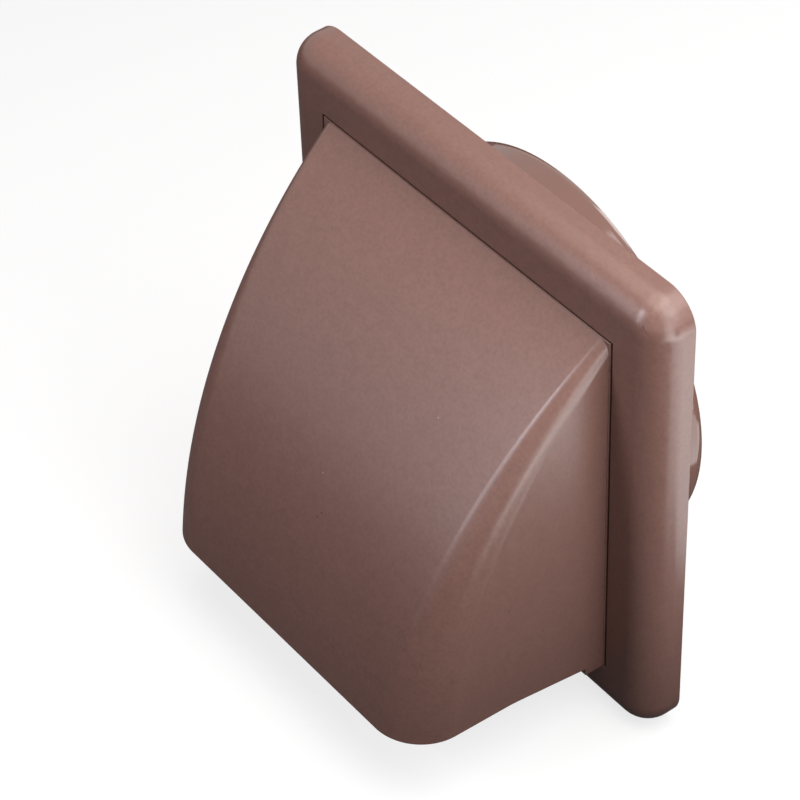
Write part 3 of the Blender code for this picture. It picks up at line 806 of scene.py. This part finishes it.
def hoodSleeve():  # the square collar that plugs into the frame's window
    inner = sleeveOuter - hood["sleeveWall"]
    edge = shared["edge"]
    corners = [
        (sleeveOuter, sleeveBack, edge),
        (sleeveOuter, frameLow.y, edge),
        (inner, frameLow.y, edge),
        (inner, sleeveBack, edge),
    ]
    outline = roundedOutline(corners, steps=3)
    return squareSweep("sleeve", outline, 0, lambda half, y: (windowDrop, windowDrop))


def snapClips():  # fingers with a barb, on the sleeve's sides
    bm = bmesh.new()
    inner, outer = sleeveOuter - clip["thickness"], sleeveOuter
    outline = [
        (inner, hoodBack),
        (outer, hoodBack),
        (outer, clipCatch),
        (outer + clip["barb"], clipCatch),
        (outer, clipCatch + clip["barbLength"]),
        (outer, hoodHigh.y),
        (inner, hoodHigh.y),
    ]
    for side in (-1, 1):
        for z in (-clip["spacing"] / 2, clip["spacing"] / 2):
            slab(bm, [(side * x, y) for x, y in outline], z - clip["width"] / 2, z + clip["width"] / 2)
    return breakEdges(pieceFrom(bm, "clips"), clip["edge"])


def hoodFeet(rule):  # the short tabs at the lower back corners
    bm = bmesh.new()
    top = rule["Lip Z"] - hood["backDrop"] + hood["wall"]
    outline = []
    for y in (hoodFoot, hoodBack):
        outline.append((rule["Half width"] - (frameLow.y - y) * rule["Draft slope"], y))
    for y in (hoodBack, hoodFoot):
        outline.append((rule["Half width"] - hood["wall"] - (frameLow.y - y) * rule["Draft slope"], y))
    for side in (-1, 1):
        slab(bm, [(side * x, y) for x, y in outline], hoodLow.z, top)
    return breakEdges(pieceFrom(bm, "feet"), hood["footEdge"])


def buildHood():
    rule = hoodRule()
    cowlHood = hoodShell(rule)
    combine(cowlHood, "UNION", hoodSleeve(), snapClips(), hoodFeet(rule))
    dress(cowlHood, "vent_body", "textured_brown", sparkBrown, "cowl_hood")


buildHood()


# Back plate and spigot

spigot = dict(
    wall=2.0 * mm,
    leadIn=0.8 * mm,
    leadInLength=1.6 * mm,
    leadInRound=4 * mm,
    endRound=0.35 * mm,
    rootFillet=1.0 * mm,  # how far the fillet at the tube's foot reaches out
    rootRadius=0.9 * mm,
    mouthRing=6.8 * mm,
    plateCorner=7.6 * mm,
    slotWidth=5.2 * mm,
    slotLength=9 * mm,
    slotInset=9.9 * mm,
    beadInner=56.1 * mm,
    beadWidth=1.0 * mm,
    beadHeight=0.8 * mm,
    beadRound=0.3 * mm,
    bearingWidth=4 * mm,
    bearingMouth=1.7 * mm,  # narrower than the pin, which snaps in
    seatRadius=3.1 * mm,
    seatNeck=1.75 * mm,
    seatDepth=1.4 * mm,
)
spigotBore = shared["spigotRadius"] - spigot["wall"]
bearingIn = pinHigh.x - spigot["bearingWidth"]


def spigotTube():
    size, outer, end = spigot, shared["spigotRadius"], plateHigh.y
    corners = [
        (spigotBore, plateFront / 2, 0),
        (outer + size["rootFillet"], plateFront / 2, 0),
        (outer + size["rootFillet"], 0, 0),
        (outer, 0, size["rootRadius"]),
        (outer, end - size["leadInLength"], size["leadInRound"]),
        (outer - size["leadIn"], end, size["endRound"]),
        (spigotBore, end, size["endRound"]),
    ]
    return turned("tube", roundedOutline(corners, steps=6), steps=256)


def seatBead():  # the raised ring round the seal
    inner, outer = spigot["beadInner"], spigot["beadInner"] + spigot["beadWidth"]
    front = plateFront - spigot["beadHeight"]
    return turned("bead", ringOutline(inner, outer, plateFront / 2, front, spigot["beadRound"]))


def pinBearings():
    bm = bmesh.new()
    reach = hingeY - plateLow.y
    for side in (-1, 1):
        x = sorted((side * bearingIn, side * pinHigh.x))
        block(bm, (x[0], plateLow.y, hingeZ - reach), (x[1], plateFront / 2, hingeZ + reach))
    return breakEdges(pieceFrom(bm, "bearings"), shared["edge"])


def mouthCutter():  # it also breaks the mouth's front edge
    edge, past = shared["edge"], shared["past"]
    radius = spigotBore - spigot["mouthRing"]
    corners = [
        (0, plateFront - past, 0),
        (radius + edge, plateFront - past, 0),
        (radius + edge, plateFront, 0),
        (radius, plateFront + edge, 0),
        (radius, past, 0),
        (0, past, 0),
    ]
    return turned("mouth", roundedOutline(corners))


def slotOutline(x, z, length, width, steps=12):
    outline = []
    radius = width / 2
    for side in (1, -1):
        centre = x + side * (length - width) / 2
        for step in range(steps + 1):
            angle = math.radians(-90 * side + 180 * step / steps)
            outline.append((centre + radius * math.cos(angle), z + radius * math.sin(angle)))
    return outline


def slotCutters():  # of the four slots for the wall's screws
    bm = bmesh.new()
    inset = windowHalf - spigot["slotInset"]
    for x in (-inset, inset):
        for z in (-inset, inset):
            outline = slotOutline(x, z, spigot["slotLength"], spigot["slotWidth"])
            slab(bm, outline, -shared["past"], shared["backPlate"] + shared["past"], facingWall)
    return pieceFrom(bm, "slots")


def bearingBores():
    bm = bmesh.new()
    for side in (-1, 1):
        middle = side * (bearingIn + pinHigh.x) / 2
        hingeBore(bm, middle, spigot["bearingWidth"] + shared["past"], sides=40)
    return pieceFrom(bm, "pinHoles")


def bearingMouths():  # cutters from the bearings' fronts to their bores
    bm = bmesh.new()
    half, past = spigot["bearingMouth"] / 2, shared["past"]
    for side in (-1, 1):
        x = sorted((side * (bearingIn - past / 2), side * (pinHigh.x + past / 2)))
        block(bm, (x[0], plateLow.y - past, hingeZ - half), (x[1], hingeY, hingeZ + half))
    return pieceFrom(bm, "bearingMouths")


def screwSeats():  # cutters of the countersunk holes for the plate's screws
    size, past = spigot, shared["past"]
    seats = []
    for place in screwPlaces:
        section = [
            (0, past),
            (size["seatRadius"], past),
            (size["seatRadius"], place.y),
            (size["seatNeck"], place.y - size["seatDepth"]),
            (size["seatNeck"], plateFront - past),
            (0, plateFront - past),
        ]
        seats.append(turned("screwSeat", section, steps=48, centre=(place.x, 0, place.z)))
    return seats


def buildSpigotPlate():
    bm = bmesh.new()
    outline = [(x, z) for x, y, z in squareLoop(plateHigh.x, spigot["plateCorner"], 0)]
    slab(bm, outline, 0, shared["backPlate"], facingWall)
    spigotPlate = pieceFrom(bm, "spigotPlate")
    combine(spigotPlate, "UNION", spigotTube(), seatBead(), pinBearings())
    cutters = [mouthCutter(), slotCutters(), bearingBores(), bearingMouths(), *screwSeats()]
    combine(spigotPlate, "DIFFERENCE", *cutters)
    dress(spigotPlate, "vent_body", "glossy_brown", glossBrown, "spigot_plate")


buildSpigotPlate()


# Screws

screw = {  # by the names of the tree's inputs
    "Head radius": 2.8 * mm,
    "Head depth": 1.4 * mm,
    "Shank radius": 1.05 * mm,
    "Tip radius": 0.2 * mm,
    "Length": 8.7 * mm,
    "Pitch": 1.1 * mm,
    "Thread height": 0.4 * mm,
    "Recess length": 3.2 * mm,
    "Recess width": 0.7 * mm,
    "Recess depth": 0.85 * mm,
}


def screwTree():  # a countersunk screw along Z, then one at each place, laid along Y
    sockets = [("Places", "Object")] + [(title, "Float") for title in screw] + [("Material", "Material")]
    graph, size = newGeometryTree("plateScrews", sockets)
    exact = {"solver": "EXACT"}
    sides, turnSteps = 40, 28  # facets round the shank, and along one turn of its thread

    def moved(geometry, z):
        upright = graph.add("ShaderNodeCombineXYZ", {}, {2: z})
        return graph.add("GeometryNodeTransform", {}, {"Geometry": geometry, "Translation": upright})

    def cone(top, bottom, depth, z):
        values = {"Vertices": sides, "Radius Top": top, "Radius Bottom": bottom, "Depth": depth}
        return moved(graph.add("GeometryNodeMeshCone", {}, values), z)

    def cube(x, y, z):
        box = graph.add("ShaderNodeCombineXYZ", {}, {0: x, 1: y, 2: z})
        return graph.add("GeometryNodeMeshCube", {}, {"Size": box})

    shankRadius, length = size["Shank radius"], size["Length"]
    tip = shankRadius  # the point is as long as the shank's radius
    shank = cone(shankRadius, shankRadius, length - tip, tip - length)
    point = cone(shankRadius, size["Tip radius"], tip, 0 - length)
    head = cone(size["Head radius"], shankRadius, size["Head depth"], 0 - size["Head depth"])
    threadLength = length - size["Head depth"] - tip * 2
    values = {"Resolution": turnSteps, "Rotations": threadLength / size["Pitch"], "Height": threadLength}
    values |= {"Start Radius": shankRadius, "End Radius": shankRadius}
    helix = graph.add("GeometryNodeCurveSpiral", {}, values)
    values = {"Resolution": 4, "Radius": size["Thread height"]}  # a square on its corner
    ridge = graph.add("GeometryNodeCurvePrimitiveCircle", {}, values)
    values = {"Curve": helix, "Profile Curve": ridge, "Fill Caps": True}
    thread = moved(graph.add("GeometryNodeCurveToMesh", {}, values), tip * 1.5 - length)
    values = {"Mesh 2": [shank, point, head, thread]}
    solid = graph.add("GeometryNodeMeshBoolean", {"operation": "UNION"} | exact, values)
    deep = size["Recess depth"] * 2
    bars = [
        cube(size["Recess length"], size["Recess width"], deep),
        cube(size["Recess width"], size["Recess length"], deep),
    ]
    values = {"Mesh 1": solid, "Mesh 2": bars}
    crossed = graph.add("GeometryNodeMeshBoolean", {"operation": "DIFFERENCE"} | exact, values)
    asMade = {"transform_space": "ORIGINAL"}
    places = graph.add("GeometryNodeObjectInfo", asMade, {"Object": size["Places"]}, "Geometry")
    values = {"Points": places, "Instance": crossed, "Rotation": (-math.pi / 2, 0, 0)}
    endTree(graph, graph.add("GeometryNodeInstanceOnPoints", {}, values), size["Material"])
    return graph.tree


def buildScrews():
    marks = bpy.data.meshes.new("screwPlaces")
    marks.from_pydata([tuple(place) for place in screwPlaces], [], [])
    places = bpy.data.objects.new("screwPlaces", marks)
    scene.collection.objects.link(places)
    plateScrews = grow("plateScrews", screwTree(), screw | {"Places": places, "Material": zinc})
    bpy.data.objects.remove(places)
    dress(plateScrews, "vent_body", "zinc", zinc, *screwNodes)


buildScrews()


# Flap, pin and seal

damper = dict(
    thickness=1.6 * mm,
    outlineSteps=160,
    rimWidth=1.6 * mm,
    rimHeight=1.2 * mm,
    rimSetback=0.4 * mm,
    rimRound=0.4 * mm,
    barrelRound=0.2 * mm,
    ribSpacing=36 * mm,
    ribWidth=1.4 * mm,
    ribHeight=0.8 * mm,
)
flapRadius = flapHigh.x
flapBack = sealLow.y - shared["fitGap"]
flapFront = flapBack - damper["thickness"]
rimOuter = flapRadius - damper["rimSetback"]
rimInner = rimOuter - damper["rimWidth"]
barrelHalf = bearingIn - shared["runGap"]


def flapPanel():  # a disc with a tongue up to the hinge
    steps = damper["outlineSteps"]
    root = math.asin(barrelHalf / flapRadius)
    outline = []
    for step in range(steps + 1):
        angle = math.pi / 2 - root - (2 * math.pi - 2 * root) * step / steps
        outline.append((flapRadius * math.cos(angle), flapRadius * math.sin(angle)))
    outline += [(-barrelHalf, hingeZ), (barrelHalf, hingeZ)]
    bm = bmesh.new()
    slab(bm, outline, -flapBack, -flapFront, facingWall)
    return breakEdges(pieceFrom(bm, "damperFlap"), shared["edge"])


def hingeBarrel():
    outline = barOutline(pinHole, flapHigh.z - hingeZ, barrelHalf, damper["barrelRound"])
    barrel = turned("barrel", outline, steps=48)
    barrel.data.transform(alongHinge)
    return barrel


def flapRim():
    foot, front = flapFront + shared["edge"] * 2, flapFront - damper["rimHeight"]
    return turned("rim", ringOutline(rimInner, rimOuter, foot, front, damper["rimRound"], steps=4))


def flapRibs():
    size, edge = damper, shared["edge"]
    bm = bmesh.new()
    for x in (-size["ribSpacing"] / 2, size["ribSpacing"] / 2):
        reach = math.sqrt(rimInner**2 - x**2) + 2 * edge
        low = (x - size["ribWidth"] / 2, flapFront - size["ribHeight"], -reach)
        block(bm, low, (x + size["ribWidth"] / 2, flapFront + 2 * edge, reach))
    return breakEdges(pieceFrom(bm, "flapRibs"), edge)


def buildFlap():
    damperFlap = flapPanel()
    bm = bmesh.new()
    hingeBore(bm, 0, 2 * (barrelHalf + shared["past"]), sides=48)
    combine(damperFlap, "DIFFERENCE", pieceFrom(bm, "pinHole"))
    combine(damperFlap, "UNION", hingeBarrel(), flapRim(), flapRibs())
    dress(damperFlap, "flap", "flap_brown", flapBrown, "damper_flap")


pin = dict(endRound=0.3 * mm)


def buildPin():
    outline = barOutline(0, pinRadius, pinHigh.x, pin["endRound"])
    flapPin = turned("flapPin", outline, steps=40)
    flapPin.data.transform(alongHinge)
    dress(flapPin, "flap", "stainless", steel, "flap_pin")


seal = dict(width=2.2 * mm, softEdge=0.5 * mm)


def buildSeal():
    outer, soft = sealHigh.x, seal["softEdge"]
    inner = outer - seal["width"]
    corners = [
        (outer, sealHigh.y, soft),
        (outer, sealLow.y, soft),
        (inner, sealLow.y, soft),
        (inner, sealHigh.y, soft),
    ]
    seatSeal = turned("seatSeal", roundedOutline(corners, steps=4), steps=160)
    dress(seatSeal, "vent_body", "foam", foam, "seat_seal")


buildFlap()
buildPin()
buildSeal()


# Camera, floor and light

view = dict(
    azimuth=53.618,
    elevation=43.273,
    roll=-2.24,
    distance=0.924,
    lens=146.56,
    sensorWidth=36,
    farLimit=20,  # metres
    aim=(-0.012978, -0.026096, -0.005343),
)


def awayFrom(point, azimuth, elevation, distance):
    azimuth, elevation = math.radians(azimuth), math.radians(elevation)
    level = math.cos(elevation)
    way = Vector((math.sin(azimuth) * level, -math.cos(azimuth) * level, math.sin(elevation)))
    return Vector(point) + way * distance


def placeCamera():
    place = awayFrom(view["aim"], view["azimuth"], view["elevation"], view["distance"])
    back = place - Vector(view["aim"])
    camera = bpy.data.objects.new("camera", bpy.data.cameras.new("camera"))
    scene.collection.objects.link(camera)
    camera.data.lens = view["lens"]
    camera.data.sensor_width = view["sensorWidth"]
    camera.data.clip_end = view["farLimit"]
    level = back.to_track_quat("Z", "Y").to_matrix().to_4x4()
    turn = Matrix.Rotation(math.radians(view["roll"]), 4, "Z")
    camera.matrix_world = Matrix.Translation(place) @ level @ turn
    scene.camera = camera


stage = dict(
    floorGrey=0.03,  # what the floor gives back to the object
    roomTint=(0.05, 0.065, 0.09, 1),  # what the room gives it
    white=1.0,  # of both to the camera
    floorPaper=0.9,  # of the share of the floor that takes shadows
    shadowShare=0.25,
    mirrorShare=0.06,  # how much of the white floor shows in a gloss
    floorGap=0.3 * mm,
    floorReach=4,  # metres
)


def grey(value):
    return (value, value, value, 1)


def seenDirectly(graph, mirrorShare=1):  # 1 for the camera and through glass, mirrorShare in a gloss
    path = graph.add("ShaderNodeLightPath", out="Is Camera Ray")
    seen = graph.maths("MAXIMUM", path.beside("Is Glossy Ray") * mirrorShare, path)
    return graph.maths("MAXIMUM", seen, path.beside("Is Transmission Ray"))


def makeFloor():
    bm = bmesh.new()
    bmesh.ops.create_grid(bm, x_segments=1, y_segments=1, size=stage["floorReach"])
    bmesh.ops.translate(bm, verts=bm.verts, vec=(0, 0, cadBounds[0].z - stage["floorGap"]))
    floor = pieceFrom(bm, "floor")
    material = bpy.data.materials.new("paleFloor")
    material.use_nodes = True
    graph = Graph(material.node_tree)
    graph.tree.nodes.clear()
    dim = graph.add("ShaderNodeBsdfDiffuse", {}, {"Color": grey(stage["floorGrey"])})
    paper = graph.add("ShaderNodeBsdfDiffuse", {}, {"Color": grey(stage["floorPaper"])})
    white = graph.add("ShaderNodeEmission", {}, {"Color": grey(stage["white"]), "Strength": 1.0})
    pale = graph.add("ShaderNodeMixShader", {}, {0: stage["shadowShare"], 1: white, 2: paper})
    seen = seenDirectly(graph, stage["mirrorShare"])
    upper = graph.add("ShaderNodeMixShader", {}, {0: seen, 1: dim, 2: pale})
    clear = graph.add("ShaderNodeBsdfTransparent")
    below = graph.add("ShaderNodeNewGeometry", out="Backfacing")  # seen through from there
    surface = graph.add("ShaderNodeMixShader", {}, {0: below, 1: upper, 2: clear})
    graph.add("ShaderNodeOutputMaterial", {}, {"Surface": surface})
    floor.data.materials.append(material)


def makeWorld():
    world = bpy.data.worlds.new("studio")
    world.use_nodes = True
    scene.world = world
    graph = Graph(world.node_tree)
    graph.tree.nodes.clear()
    colour = graph.mixed(seenDirectly(graph), stage["roomTint"], grey(stage["white"]))
    shade = graph.add("ShaderNodeBackground", {}, {"Color": colour, "Strength": 1.0})
    graph.add("ShaderNodeOutputWorld", {}, {"Surface": shade})


# Soft boxes and cards round the hood, by azimuth from its front towards its right side
middle = (0, -0.035, 0)
plain, warm, cool = (1, 1, 1), (1, 0.89, 0.79), (0.92, 0.92, 1)
pane = dict(distance=0.60, size=(0.14, 0.20), tint=cool)
boxes = [
    dict(name="keyBox", azimuth=120, elevation=60, distance=0.50, size=(0.45, 0.35), power=1.68),
    dict(name="sideBox", azimuth=95, elevation=38, distance=0.40, size=(0.32, 0.28), power=0.69),
    dict(name="topBox", azimuth=0, elevation=90, distance=0.50, size=(0.45, 0.45), power=2.3, tint=warm),
    dict(name="backBox", azimuth=189, elevation=12, distance=0.50, size=(0.12, 0.30), power=0.45),
    dict(name="rightCard", azimuth=78, elevation=11, distance=0.50, size=(0.18, 0.20), power=0.42),
    dict(name="paneHigh", azimuth=-17, elevation=35, power=1.15, **pane),
    dict(name="paneMiddle", azimuth=-17, elevation=15, power=0.54, **pane),
    dict(name="paneLow", azimuth=-20, elevation=-7, power=0.06, **pane),
]
# Bright patches just above the floor, which the sides mirror, and one that lights the hood's inside
floorCards = [
    dict(name="frontPatch", place=(0.75, -0.14), size=(0.80, 0.18), power=3.4),
    dict(name="sidePatch", place=(0.40, 0.075), size=(0.20, 0.25), power=1.1),
    dict(name="nearPatch", place=(0.205, 0.095), size=(0.19, 0.11), power=0.17),
    dict(name="edgePatch", place=(0.235, 0.01), size=(0.15, 0.06), power=0.06),
    dict(name="farPatch", place=(0.75, 0.33), size=(0.50, 0.30), power=1.4),
    dict(name="mouthCard", place=(0, -0.045), size=(0.07, 0.03), power=0.035, rise=28 * mm),
]
cardRise = 3 * mm  # of the patches


def makeLamp(name, place, aim, size, power, tint=plain):
    lamp = bpy.data.lights.new(name, "AREA")
    lamp.shape = "RECTANGLE"
    lamp.size, lamp.size_y = size
    lamp.energy = power
    lamp.color = tint
    holder = bpy.data.objects.new(name, lamp)
    holder.location = place
    holder.rotation_euler = (Vector(aim) - Vector(place)).to_track_quat("-Z", "Y").to_euler()
    holder.visible_camera = False
    scene.collection.objects.link(holder)


def makeLights():
    for box in boxes:
        place = awayFrom(middle, box["azimuth"], box["elevation"], box["distance"])
        makeLamp(box["name"], place, middle, box["size"], box["power"], box.get("tint", plain))
    for card in floorCards:
        place = Vector((*card["place"], cadBounds[0].z + card.get("rise", cardRise)))
        makeLamp(card["name"], place, place + Vector((0, 0, 1)), card["size"], card["power"])


placeCamera()
makeFloor()
makeWorld()
makeLights()
scene.view_settings.view_transform = "Standard"
print("camera, floor and lamps placed")
